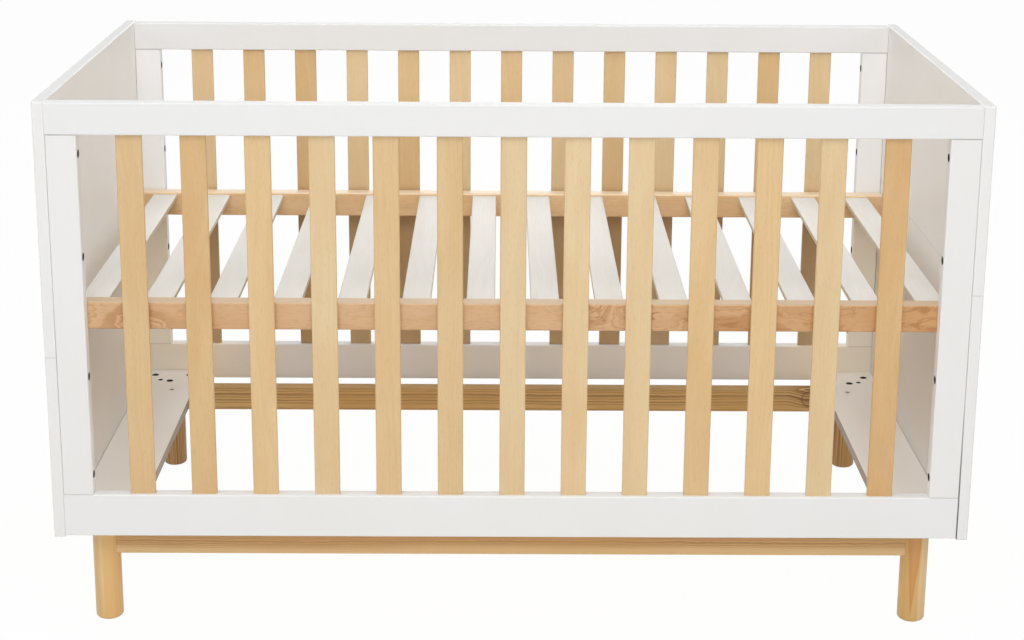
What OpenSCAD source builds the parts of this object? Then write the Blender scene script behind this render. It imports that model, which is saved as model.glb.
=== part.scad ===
// Convertible cot bed. White end boards in two tiers, two slatted side panels, a slatted
// mattress base that lifts out, and a stand of round legs and long rails.
// Millimetres. The floor is z = 0, the middle of the bed is x = y = 0, the head end is +x
// and the front is -y.

/* [Overall] */
// Length over the end boards
bed_length = 1452; // [1250:2:1600]
// Depth over the side panels
bed_depth = 770; // [660:2:900]
// Height of the bottom boards' underside above the floor
stand_h = 162; // [120:1:240]

/* [End boards] */
// Thickness of the end boards
end_t = 18; // [16:1:25]
// Height of an end board, both tiers together
end_h = 705.5; // [650:0.5:760]
// How far the end boards reach below the bottom boards' underside
end_lower = 1.5; // [0:0.5:3]
// Top of the lower tier at the head end, above the bottom boards' underside
head_tier_h = 405; // [300:1:430]
// Top of the lower tier at the foot end, above the bottom boards' underside
foot_tier_h = 298; // [290:1:430]
// Open joint between the two tiers
tier_gap = 0.5; // [0.2:0.1:0.9]
// Radius on the outer edges of the end boards
end_edge_r = 2.5; // [1:0.5:5]

/* [Side panels] */
// Thickness of rails and stiles
side_t = 22; // [20:1:30]
// How far the top rail lies below the top of the end boards
side_drop = 2; // [0:0.5:12]
// How far the bottom rail lies above the underside of the end boards
side_raise = 2.5; // [0:0.5:8]
// Height of the top rail
top_rail_h = 50; // [40:1:60]
// Height of the bottom rail
bottom_rail_h = 69.5; // [50:0.5:80]
// Width of the stiles
stile_w = 47; // [40:1:60]
// Radius on the long edges of rails and stiles
side_edge_r = 2; // [1:0.5:4]
// Open joint between the side panels and the end boards
side_gap = 0.3; // [0.1:0.1:0.9]

/* [Side slats] */
// Number of slats in each side panel
slat_count = 13; // [9:1:13]
// Width of a slat
slat_w = 40; // [36:1:46]
// Thickness of a slat
slat_t = 8; // [7:1:12]
// Radius on the long edges of a slat
slat_edge_r = 2.5; // [1:0.5:3]
// Length of a slat that is let into each rail
slat_tenon = 12; // [8:1:18]

/* [Mattress base] */
// Height of the base rails' top above the bottom boards' underside
base_level = 382.5; // [350:0.5:420]
// Height of the base rails
base_rail_h = 44.5; // [34:0.5:54]
// Thickness of the base rails
base_rail_t = 28; // [22:1:30]
// Running gap between the base and the sides and ends
base_gap = 1; // [0.5:0.1:2]
// Radius on the long edges of the base rails
base_edge_r = 3; // [1:0.5:4]
// Number of cross slats
base_slat_count = 14; // [8:1:16]
// Width of a cross slat
base_slat_w = 45; // [35:1:60]
// Thickness of a cross slat
base_slat_t = 9; // [7:1:14]
// Radius on the long edges of a cross slat
base_slat_edge_r = 2; // [1:0.5:3]
// Step down from the rail's top to the cross slats
base_slat_step = 4; // [2:0.5:6]
// Length of a cross slat that is let into each rail
base_slat_tenon = 10; // [6:1:15]
// Middle of the first cross slat from the rail's end
base_slat_inset = 50.5; // [40:0.5:80]

/* [Bottom boards] */
// Width of a bottom board, along the bed
floor_board_w = 105; // [102:1:160]
// Thickness of a bottom board
floor_board_t = 18; // [16:1:22]
// Radius on the edges of a bottom board
floor_edge_r = 1.5; // [0.5:0.5:3]
// Diameter of the spare holes in the bottom boards
spare_hole_d = 8; // [5:1:10]

/* [Stand] */
// Diameter of a leg
leg_d = 44; // [38:1:50]
// Radius at a leg's foot
leg_foot_r = 6; // [2:0.5:10]
// Leg's axis from the end board's outer face
leg_inset_x = 71; // [66:1:80]
// Leg's axis from the side panel's outer face
leg_inset_y = 55; // [52:1:90]
// Height of the stand's long rails
leg_rail_h = 45.5; // [36:0.5:60]
// Thickness of the stand's long rails
leg_rail_t = 26; // [18:1:28]
// Depth of the rails' housings, measured inwards from the leg's surface
leg_housing = 8; // [6:1:10]
// Thickness of the leg plates
plate_t = 2.5; // [2:0.5:4]
// Width of a leg plate's arms
plate_arm_w = 26; // [22:1:30]
// Bolt's axis from the leg's axis, along each arm
plate_reach = 33; // [30:1:36]

/* [Fastenings] */
// How far the side bolts reach into the end boards
side_bolt_bite = 11.7; // [9:0.1:12]
// Depth of the side bolts' counterbores
side_sink = 10; // [8:1:14]
// Side bolts nearest the rails, measured from the joint of rail and stile
side_bolt_inset = 31; // [28:0.5:44]
// Second side bolts of the lower tiers, below the lower of the joints between tiers
lower_bolt_drop = 33.5; // [20:0.5:60]
// Second side bolts of the upper tiers, above the higher of the joints between tiers
upper_bolt_rise = 53; // [20:0.5:70]
// Length of a short bolt under its head
short_bolt_l = 14; // [13:0.5:15]
// Wood under the heads of the bolts in the bottom boards
floor_web = 12; // [11:0.5:13]
// Diameter of the bolts' shanks
bolt_d = 6; // [5:1:6]
// Diameter of the bolts' heads
bolt_head_d = 10; // [9:0.5:11]
// Height of the bolts' heads
bolt_head_h = 4; // [3:0.5:5]
// Size across flats of the sockets in the bolts' heads
bolt_socket = 4; // [3:0.5:5]
// Diameter of the counterbores
sink_d = 12; // [11.5:0.5:14]
// Outer diameter of the threaded inserts
insert_d = 10; // [9:0.5:12]
// Length of the threaded inserts
insert_l = 12; // [10:0.5:13]
// Diameter of the dowels
dowel_d = 8; // [6:1:8]
// Length of the dowels
dowel_l = 30; // [24:2:34]
// Distance between the two dowels of a stile's joint
stile_dowel_step = 24; // [18:1:26]
// Distance between the two dowels at a bottom board's short edge
floor_dowel_step = 54; // [40:1:70]
// Distance between the dowels along an end board's bottom board
end_dowel_step = 200; // [120:5:240]
// Distance between the two dowels of a leg's joint
leg_dowel_step = 17; // [14:1:20]
// Length of the wood screws
screw_l = 18; // [14:1:20]
// Diameter of the wood screws' shanks
screw_d = 4; // [3:0.5:4.5]
// Diameter of the wood screws' heads
screw_head_d = 7.5; // [7:0.5:8]
// Width of a base bracket, along the bed
bracket_w = 26; // [20:1:30]
// Height of a base bracket's upright flange
bracket_h = 32; // [30:1:40]
// Thickness of the base brackets
bracket_t = 2.5; // [2:0.5:4]

/* [Hidden] */
// Gap round tenons in their housings
fit = 0.2;
// Gap round dowels, screws, inserts and bolts in threads, on the radius
pin_fit = 0.1;
// Gap round bolts and screws in plain holes, on the radius
through_fit = 0.2;
// Spare depth at the end of a blind hole
hole_spare = 0.5;
// How far a cut runs past a face
past = 1;
$fn = 48;

// Levels above the floor
box_z = stand_h;
end_z = box_z - end_lower;
end_top = end_z + end_h;
side_z = end_z + side_raise;
side_top = end_top - side_drop;
lower_joint = side_z + bottom_rail_h;
upper_joint = side_top - top_rail_h;
base_top = box_z + base_level;
base_z = base_top - base_rail_h;
floor_board_top = box_z + floor_board_t;
leg_top = box_z - plate_t;
leg_rail_z = leg_top - leg_rail_h;

// Places along the bed, for the +x half
end_in = bed_length / 2 - end_t;
side_end = end_in - side_gap;
stile_in = side_end - stile_w;
stile_x = side_end - stile_w / 2;
leg_x = bed_length / 2 - leg_inset_x;
base_end = end_in - base_gap;
floor_board_x = end_in - fit - floor_board_w / 2;
leg_rail_end = leg_x - leg_d / 2 + leg_housing;
bracket_x = base_end - fit - bracket_w / 2;

// Places across the bed, for the +y half
side_in = bed_depth / 2 - side_t;
side_y = bed_depth / 2 - side_t / 2;
base_out = side_in - base_gap;
base_in = base_out - base_rail_t;
base_y = (base_out + base_in) / 2;
leg_y = bed_depth / 2 - leg_inset_y;

// Side slats share out the length between the stiles evenly
slat_gap = (2 * stile_in - slat_count * slat_w) / (slat_count + 1);
function slat_x(i) = -stile_in + i * slat_gap + (i - 0.5) * slat_w;

// Cross slats run at an even pitch between the two end ones
base_slat_first = base_end - base_slat_inset;
base_slat_pitch = 2 * base_slat_first / (base_slat_count - 1);
base_slat_z = base_top - base_slat_step - base_slat_t / 2;
function base_slat_x(i) = -base_slat_first + (i - 1) * base_slat_pitch;

// Side bolts, two for each tier, and the seat of their heads
low_tier_joint = box_z + min(head_tier_h, foot_tier_h);
high_tier_joint = box_z + max(head_tier_h, foot_tier_h) + tier_gap;
lower_bolts = [lower_joint + side_bolt_inset, low_tier_joint - lower_bolt_drop];
upper_bolts = [upper_joint - side_bolt_inset, high_tier_joint + upper_bolt_rise];
side_bolt_seat = stile_in + side_sink;
side_bolt_l = end_in + side_bolt_bite - side_bolt_seat;

// Seat of the bolts in the bottom boards, and their places round the leg's axis: outwards
// and inwards along the bed, and inwards across it
floor_seat = box_z + floor_web;
plate_bolts = [[plate_reach, 0], [-plate_reach, 0], [0, -plate_reach]];
// Screws from the leg plate into the leg's end, clear of the rail's dowels
plate_screw_r = 10;
plate_screws = [[plate_screw_r, 0], [0, plate_screw_r], [0, -plate_screw_r]];
// Spare holes in the bottom boards, from the leg's axis
spare_holes = [[18.5, -28], [-12, -83]];

// Dowels: how far the end boards' ones reach into them, and their height
end_dowel_in = 10;
floor_dowel_z = (side_z + floor_board_top) / 2;
leg_dowel_z = leg_rail_z + leg_rail_h / 2;
// Screws of a base bracket, below its top
bracket_screw_drop = 13;
bracket_screw_step = 11;
bracket_screws = [for (i = [0, 1]) base_z - bracket_screw_drop - i * bracket_screw_step];

FRAME = [
    "head_board_lower", "head_board_upper", "foot_board_lower", "foot_board_upper",
    "front_top_rail", "front_bottom_rail", "front_foot_stile", "front_head_stile",
    "rear_top_rail", "rear_bottom_rail", "rear_foot_stile", "rear_head_stile",
    "head_floor_board", "foot_floor_board",
    "front_foot_leg", "front_head_leg", "rear_foot_leg", "rear_head_leg",
    "front_leg_rail", "rear_leg_rail",
    "front_base_rail", "rear_base_rail", "base_slats"
];
FASTENINGS = [
    "side_bolts", "lower_inserts", "head_upper_inserts", "foot_upper_inserts",
    "base_inserts", "short_bolts", "base_brackets", "leg_plates", "wood_screws", "dowels"
];
SLATS = [for (side = ["front", "rear"], i = [1 : slat_count]) str(side, "_slat_", i)];

// Outline with rounded corners, centred
module soft_rect(a, b, r) {
    square([a - 2 * r, b], center = true);
    square([a, b - 2 * r], center = true);
    for (sx = [-1, 1], sy = [-1, 1])
        translate([sx * (a / 2 - r), sy * (b / 2 - r)]) circle(r);
}

// Bar along x with rounded long edges, centred
module bar_x(length, t, h, r) {
    rotate([90, 0, 90]) linear_extrude(length, center = true) soft_rect(t, h, r);
}

// Bar along y with rounded long edges, centred
module bar_y(length, w, h, r) {
    rotate([90, 0, 0]) linear_extrude(length, center = true) soft_rect(w, h, r);
}

// Bar along z with rounded long edges, standing on z = 0
module bar_z(length, w, t, r) {
    linear_extrude(length) soft_rect(w, t, r);
}

// Board with every edge rounded, centred
module soft_board(x, y, z, r) {
    intersection() {
        bar_x(x, y, z, r);
        bar_y(y, x, z, r);
        translate([0, 0, -z / 2]) bar_z(z, x, y, r);
    }
}

// Cylinders from the origin along +x and +y
module rod_x(d, length) {
    rotate([0, 90, 0]) cylinder(d = d, h = length);
}
module rod_y(d, length) {
    rotate([-90, 0, 0]) cylinder(d = d, h = length);
}

// Copies for the two ends, the two sides, and all four corners
module both_ends() {
    for (sx = [0, 1]) mirror([sx, 0, 0]) children();
}
module both_sides() {
    for (sy = [0, 1]) mirror([0, sy, 0]) children();
}
module corners() {
    both_ends() both_sides() children();
}
// The same piece at the foot end, or at the front
module foot() {
    mirror([1, 0, 0]) children();
}
module front() {
    mirror([0, 1, 0]) children();
}

// Dowel or its hole, along z, centred on the joint
module dowel(hole) {
    cylinder(
        d = dowel_d + (hole ? 2 * pin_fit : 0),
        h = dowel_l + (hole ? 2 * hole_spare : 0),
        center = true
    );
}
// Dowels of a stile, in its joints with both rails
module stile_dowels(hole) {
    for (z = [lower_joint, upper_joint], s = [-0.5, 0.5])
        translate([stile_x + s * stile_dowel_step, side_y, z]) dowel(hole);
}
// Dowels from a bottom board's short edge into the bottom rail
module floor_dowels(hole) {
    for (s = [-0.5, 0.5])
        translate([floor_board_x + s * floor_dowel_step, side_in, floor_dowel_z])
            rotate([90, 0, 0]) dowel(hole);
}
// Dowels from a bottom board's long edge into the end board
module end_dowels(hole) {
    for (i = [-1 : 1])
        translate([end_in + end_dowel_in - dowel_l / 2, i * end_dowel_step, floor_dowel_z])
            rotate([0, 90, 0]) dowel(hole);
}
// Dowels from the long rail of the stand into a leg
module leg_dowels(hole) {
    for (s = [-0.5, 0.5])
        translate([leg_rail_end, leg_y, leg_dowel_z + s * leg_dowel_step])
            rotate([0, 90, 0]) dowel(hole);
}

// End boards: both tiers are cut from one board, so only its outer edges are rounded
module end_tier(z_low, z_high, bolts) {
    difference() {
        intersection() {
            translate([bed_length / 2 - end_t / 2, 0, end_z + end_h / 2])
                soft_board(end_t, bed_depth, end_h, end_edge_r);
            translate([end_in - past, -bed_depth / 2 - past, z_low])
                cube([end_t + 2 * past, bed_depth + 2 * past, z_high - z_low]);
        }
        both_sides() for (z = bolts) translate([end_in - past, side_y, z])
            rod_x(insert_d + 2 * pin_fit, past + insert_l + hole_spare);
        end_dowels(true);
    }
}
module head_board_lower() {
    color("whitesmoke") end_tier(end_z, box_z + head_tier_h, lower_bolts);
}
module head_board_upper() {
    color("whitesmoke") end_tier(box_z + head_tier_h + tier_gap, end_top, upper_bolts);
}
module foot_board_lower() {
    color("whitesmoke") foot() end_tier(end_z, box_z + foot_tier_h, lower_bolts);
}
module foot_board_upper() {
    color("whitesmoke") foot() end_tier(box_z + foot_tier_h + tier_gap, end_top, upper_bolts);
}

// Side panels
module slat_housings(z) {
    for (i = [1 : slat_count]) translate([slat_x(i), side_y, z])
        bar_z(slat_tenon + fit + past, slat_w + 2 * fit, slat_t + 2 * fit, slat_edge_r + fit);
}
module top_rail() {
    difference() {
        translate([0, side_y, upper_joint + top_rail_h / 2])
            bar_x(2 * side_end, side_t, top_rail_h, side_edge_r);
        slat_housings(upper_joint - past);
        both_ends() stile_dowels(true);
    }
}
module bottom_rail() {
    difference() {
        translate([0, side_y, side_z + bottom_rail_h / 2])
            bar_x(2 * side_end, side_t, bottom_rail_h, side_edge_r);
        slat_housings(lower_joint - slat_tenon - fit);
        both_ends() stile_dowels(true);
        both_ends() floor_dowels(true);
    }
}
module stile() {
    difference() {
        translate([stile_x, side_y, lower_joint])
            bar_z(upper_joint - lower_joint, stile_w, side_t, side_edge_r);
        for (z = concat(lower_bolts, upper_bolts)) translate([stile_in - past, side_y, z]) {
            rod_x(sink_d, past + side_sink);
            rod_x(bolt_d + 2 * through_fit, stile_w + 2 * past);
        }
        stile_dowels(true);
        for (z = bracket_screws) translate([bracket_x, side_in - past, z])
            rod_y(screw_d + 2 * pin_fit, past + screw_l - bracket_t + hole_spare);
    }
}
module front_top_rail() {
    color("white") front() top_rail();
}
module front_bottom_rail() {
    color("white") front() bottom_rail();
}
module front_foot_stile() {
    color("white") foot() front() stile();
}
module front_head_stile() {
    color("white") front() stile();
}
module rear_top_rail() {
    color("white") top_rail();
}
module rear_bottom_rail() {
    color("white") bottom_rail();
}
module rear_foot_stile() {
    color("white") foot() stile();
}
module rear_head_stile() {
    color("white") stile();
}
module side_slat(i) {
    color("burlywood") translate([slat_x(i), side_y, lower_joint - slat_tenon])
        bar_z(upper_joint - lower_joint + 2 * slat_tenon, slat_w, slat_t, slat_edge_r);
}

// Bottom boards, with counterbored holes for the stand's bolts
module floor_board() {
    difference() {
        translate([floor_board_x, 0, box_z + floor_board_t / 2])
            soft_board(floor_board_w, 2 * (side_in - fit), floor_board_t, floor_edge_r);
        both_sides() translate([leg_x, leg_y, 0]) {
            for (p = plate_bolts) translate(p) {
                translate([0, 0, floor_seat])
                    cylinder(d = sink_d, h = floor_board_t);
                translate([0, 0, box_z - past])
                    cylinder(d = bolt_d + 2 * through_fit, h = floor_board_t + 2 * past);
            }
            for (p = spare_holes) translate([p.x, p.y, box_z - past])
                cylinder(d = spare_hole_d, h = floor_board_t + 2 * past);
        }
        both_sides() floor_dowels(true);
        end_dowels(true);
    }
}
module head_floor_board() {
    color("gainsboro") floor_board();
}
module foot_floor_board() {
    color("gainsboro") foot() floor_board();
}

// Stand
module leg_outline() {
    r = leg_d / 2;
    square([r - leg_foot_r, leg_top]);
    translate([0, leg_foot_r]) square([r, leg_top - leg_foot_r]);
    intersection() {
        translate([r - leg_foot_r, leg_foot_r]) circle(leg_foot_r);
        square([r, leg_top]);
    }
}
module leg() {
    difference() {
        translate([leg_x, leg_y, 0]) rotate_extrude() leg_outline();
        translate([0, leg_y - leg_rail_t / 2 - fit, leg_rail_z - fit])
            cube([leg_rail_end + fit, leg_rail_t + 2 * fit, leg_rail_h + fit + past]);
        leg_dowels(true);
        for (p = plate_screws)
            translate([leg_x + p.x, leg_y + p.y, box_z - screw_l - hole_spare])
                cylinder(d = screw_d + 2 * pin_fit, h = screw_l + past);
    }
}
module leg_rail() {
    difference() {
        translate([0, leg_y, leg_rail_z + leg_rail_h / 2])
            bar_x(2 * leg_rail_end, leg_rail_t, leg_rail_h, side_edge_r);
        both_ends() leg_dowels(true);
    }
}
module front_foot_leg() {
    color("tan") foot() front() leg();
}
module front_head_leg() {
    color("tan") front() leg();
}
module rear_foot_leg() {
    color("tan") foot() leg();
}
module rear_head_leg() {
    color("tan") leg();
}
module front_leg_rail() {
    color("peru") front() leg_rail();
}
module rear_leg_rail() {
    color("peru") leg_rail();
}
// T-shaped plate with three arms round the leg's axis, threaded for the bolts
module leg_plate() {
    translate([leg_x, leg_y, leg_top]) difference() {
        linear_extrude(plate_t) {
            square([2 * plate_reach, plate_arm_w], center = true);
            for (p = plate_bolts) translate(p) circle(d = plate_arm_w);
            translate([-plate_arm_w / 2, -plate_reach]) square([plate_arm_w, plate_reach]);
        }
        for (p = plate_bolts) translate([p.x, p.y, -past])
            cylinder(d = bolt_d + 2 * pin_fit, h = plate_t + 2 * past);
        for (p = plate_screws) translate(p) screw_sink(plate_t);
    }
}
module leg_plates() {
    color("silver") corners() leg_plate();
}

// Mattress base
module base_rail() {
    difference() {
        translate([0, base_y, base_z + base_rail_h / 2])
            bar_x(2 * base_end, base_rail_t, base_rail_h, base_edge_r);
        for (i = [1 : base_slat_count])
            translate([base_slat_x(i), base_in, base_slat_z])
                bar_y(2 * (base_slat_tenon + fit), base_slat_w + 2 * fit,
                    base_slat_t + 2 * fit, base_slat_edge_r + fit);
        both_ends() translate([bracket_x, base_y, base_z - past])
            cylinder(d = insert_d + 2 * pin_fit, h = past + short_bolt_l + hole_spare);
    }
}
module front_base_rail() {
    color("sandybrown") front() base_rail();
}
module rear_base_rail() {
    color("sandybrown") base_rail();
}
module base_slats() {
    color("ivory") for (i = [1 : base_slat_count]) translate([base_slat_x(i), 0, base_slat_z])
        bar_y(2 * (base_in + base_slat_tenon), base_slat_w, base_slat_t, base_slat_edge_r);
}
// Angle bracket on the stile, under the base rail's end, with a bend of its own thickness
module base_bracket() {
    reach = side_in - base_in;
    difference() {
        translate([bracket_x, side_in, base_z]) rotate([90, 0, 90])
            linear_extrude(bracket_w, center = true) {
                translate([-reach, -bracket_t]) square([reach - bracket_t, bracket_t]);
                translate([-bracket_t, -bracket_h]) square([bracket_t, bracket_h - bracket_t]);
                intersection() {
                    translate([-bracket_t, -bracket_t]) circle(bracket_t);
                    translate([-bracket_t, -bracket_t]) square(bracket_t);
                }
            }
        translate([bracket_x, base_y, base_z - bracket_t - past])
            cylinder(d = bolt_d + 2 * through_fit, h = bracket_t + 2 * past);
        for (z = bracket_screws) translate([bracket_x, side_in, z])
            rotate([90, 0, 0]) screw_sink(bracket_t);
    }
}
module base_brackets() {
    color("silver") corners() base_bracket();
}

// Fastenings
// Cap bolt with a six-sided socket, head below z = 0 and shank towards +z
module cap_bolt(length) {
    difference() {
        union() {
            translate([0, 0, -bolt_head_h]) cylinder(d = bolt_head_d, h = bolt_head_h);
            cylinder(d = bolt_d, h = length);
        }
        translate([0, 0, -bolt_head_h - past])
            cylinder(d = bolt_socket / cos(30), h = past + bolt_head_h / 2, $fn = 6);
    }
}
// Hole and countersink for a wood screw in metal of thickness t, mouth at z = t
module screw_sink(t) {
    translate([0, 0, -past]) cylinder(d = screw_d + 2 * through_fit, h = t + 2 * past);
    cylinder(d1 = screw_d + 2 * pin_fit, d2 = screw_head_d + 2 * pin_fit, h = t);
}
// Wood screw in metal of thickness t, top of its head at z = 0 and point towards -z
module wood_screw(t) {
    difference() {
        union() {
            translate([0, 0, -t]) cylinder(d1 = screw_d, d2 = screw_head_d, h = t);
            translate([0, 0, -screw_l]) cylinder(d = screw_d, h = screw_l);
        }
        for (a = [0, 90]) rotate(a) cube([screw_d, screw_d / 4, t], center = true);
    }
}
// Threaded insert, from z = 0 towards +z
module insert() {
    difference() {
        cylinder(d = insert_d, h = insert_l);
        translate([0, 0, -past]) cylinder(d = bolt_d + 2 * pin_fit, h = insert_l + 2 * past);
    }
}
module side_bolts() {
    color("dimgray") corners() for (z = concat(lower_bolts, upper_bolts))
        translate([side_bolt_seat, side_y, z]) rotate([0, 90, 0]) cap_bolt(side_bolt_l);
}
module tier_inserts(bolts) {
    both_sides() for (z = bolts) translate([end_in, side_y, z]) rotate([0, 90, 0]) insert();
}
module lower_inserts() {
    color("goldenrod") both_ends() tier_inserts(lower_bolts);
}
module head_upper_inserts() {
    color("goldenrod") tier_inserts(upper_bolts);
}
module foot_upper_inserts() {
    color("goldenrod") foot() tier_inserts(upper_bolts);
}
module base_inserts() {
    color("goldenrod") corners() translate([bracket_x, base_y, base_z]) insert();
}
module short_bolts() {
    color("dimgray") corners() {
        translate([bracket_x, base_y, base_z - bracket_t]) cap_bolt(short_bolt_l);
        for (p = plate_bolts) translate([leg_x + p.x, leg_y + p.y, floor_seat])
            rotate([180, 0, 0]) cap_bolt(short_bolt_l);
    }
}
module wood_screws() {
    color("silver") corners() {
        for (p = plate_screws) translate([leg_x + p.x, leg_y + p.y, box_z]) wood_screw(plate_t);
        for (z = bracket_screws) translate([bracket_x, side_in - bracket_t, z])
            rotate([90, 0, 0]) wood_screw(bracket_t);
    }
}
module dowels() {
    color("wheat") corners() {
        stile_dowels(false);
        floor_dowels(false);
        leg_dowels(false);
    }
    color("wheat") both_ends() end_dowels(false);
}

head_board_lower();
head_board_upper();
foot_board_lower();
foot_board_upper();
front_top_rail();
front_bottom_rail();
front_foot_stile();
front_head_stile();
rear_top_rail();
rear_bottom_rail();
rear_foot_stile();
rear_head_stile();
head_floor_board();
foot_floor_board();
front_foot_leg();
front_head_leg();
rear_foot_leg();
rear_head_leg();
front_leg_rail();
rear_leg_rail();
front_base_rail();
rear_base_rail();
base_slats();
side_bolts();
lower_inserts();
head_upper_inserts();
foot_upper_inserts();
base_inserts();
short_bolts();
base_brackets();
leg_plates();
wood_screws();
dowels();
for (i = [1 : slat_count]) {
    front() side_slat(i);
    side_slat(i);
}
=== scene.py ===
"""Convertible cot bed: finishes of wood, lacquer and metal, and threaded bolts, on its frame.

Metres, in the frame's own axes: +x to the head end, -y to the front, +z up from the floor.
"""
from math import atan2, cos, pi, radians, sin, tau

import bmesh
import bpy
from mathutils import Matrix, Vector


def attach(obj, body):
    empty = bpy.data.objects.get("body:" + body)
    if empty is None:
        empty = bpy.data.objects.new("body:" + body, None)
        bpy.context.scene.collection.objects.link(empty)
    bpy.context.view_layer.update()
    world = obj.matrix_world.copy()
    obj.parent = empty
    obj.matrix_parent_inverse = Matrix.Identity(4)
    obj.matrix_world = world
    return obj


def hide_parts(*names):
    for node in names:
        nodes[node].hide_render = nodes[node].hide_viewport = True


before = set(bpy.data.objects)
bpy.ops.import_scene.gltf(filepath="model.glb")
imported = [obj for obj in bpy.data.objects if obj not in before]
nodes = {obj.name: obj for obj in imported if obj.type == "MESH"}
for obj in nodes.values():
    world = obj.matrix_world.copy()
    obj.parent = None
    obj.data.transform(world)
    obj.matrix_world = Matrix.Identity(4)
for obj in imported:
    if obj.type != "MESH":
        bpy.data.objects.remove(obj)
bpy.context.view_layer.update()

MM = 0.001
scene = bpy.context.scene

# Places in metres that woods, marks and bolts share. The bed's quarters mirror each other, so
# x and y are given for the one at the rear of the head end.
SIDE_Y = 0.374                  # middle of a side panel
BASE_Y = 0.348                  # middle of a base rail
LEG_X, LEG_Y = 0.655, 0.330     # middle of a leg
SLAT_STEP = 0.0972429           # from one side slat to the next
CROSS_STEP = 0.101              # from one cross slat to the next
BOARD_FACE = 0.708              # inner face of an end board
RAIL_JOINTS = (0.2325, 0.814)   # heights at which a stile meets its rails
SIDE_BOLTS = (0.2635, 0.4265, 0.6205, 0.783)                    # heights
BOTTOM_BOLTS = ((0.622, LEG_Y), (0.688, LEG_Y), (LEG_X, 0.297))     # x and y
COUNTERBORE = 6.0 * MM          # radius round a bolt's head
SPARE_HOLE = 4.0 * MM           # radius


# Node helpers

def linear(code):
    """Colour written as an sRGB hex value, as linear red, green, blue and alpha."""
    parts = [int(code[i:i + 2], 16) / 255 for i in (1, 3, 5)]
    return [c / 12.92 if c <= 0.04045 else ((c + 0.055) / 1.055) ** 2.4 for c in parts] + [1.0]


def add(tree, kind, inputs=None, stops=None, **settings):
    """One node with its settings, its values and links, and a grey ramp's stops."""
    node = tree.nodes.new("ShaderNode" + kind)
    for name, value in settings.items():
        setattr(node, name, value)
    for name, value in (inputs or {}).items():
        if isinstance(value, bpy.types.NodeSocket):
            tree.links.new(value, node.inputs[name])
        else:
            node.inputs[name].default_value = value
    if stops:
        ramp = node.color_ramp.elements
        while len(ramp) < len(stops):
            ramp.new(1.0)
        for element, (place, level) in zip(ramp, stops):
            element.position = place
            element.color = [level] * 3 + [1.0]
    return node


def start(name):
    """New material without nodes, and its node tree."""
    material = bpy.data.materials.new(name)
    material.use_nodes = True
    material.node_tree.nodes.clear()
    return material, material.node_tree


# Wood

# Turns that bring the grain of a board onto the pattern's z axis
ALONG_X = (0.0, -pi / 2, 0.0)
ALONG_Y = (pi / 2, 0.0, 0.0)
ALONG_Z = (0.0, 0.0, 0.0)


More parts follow.
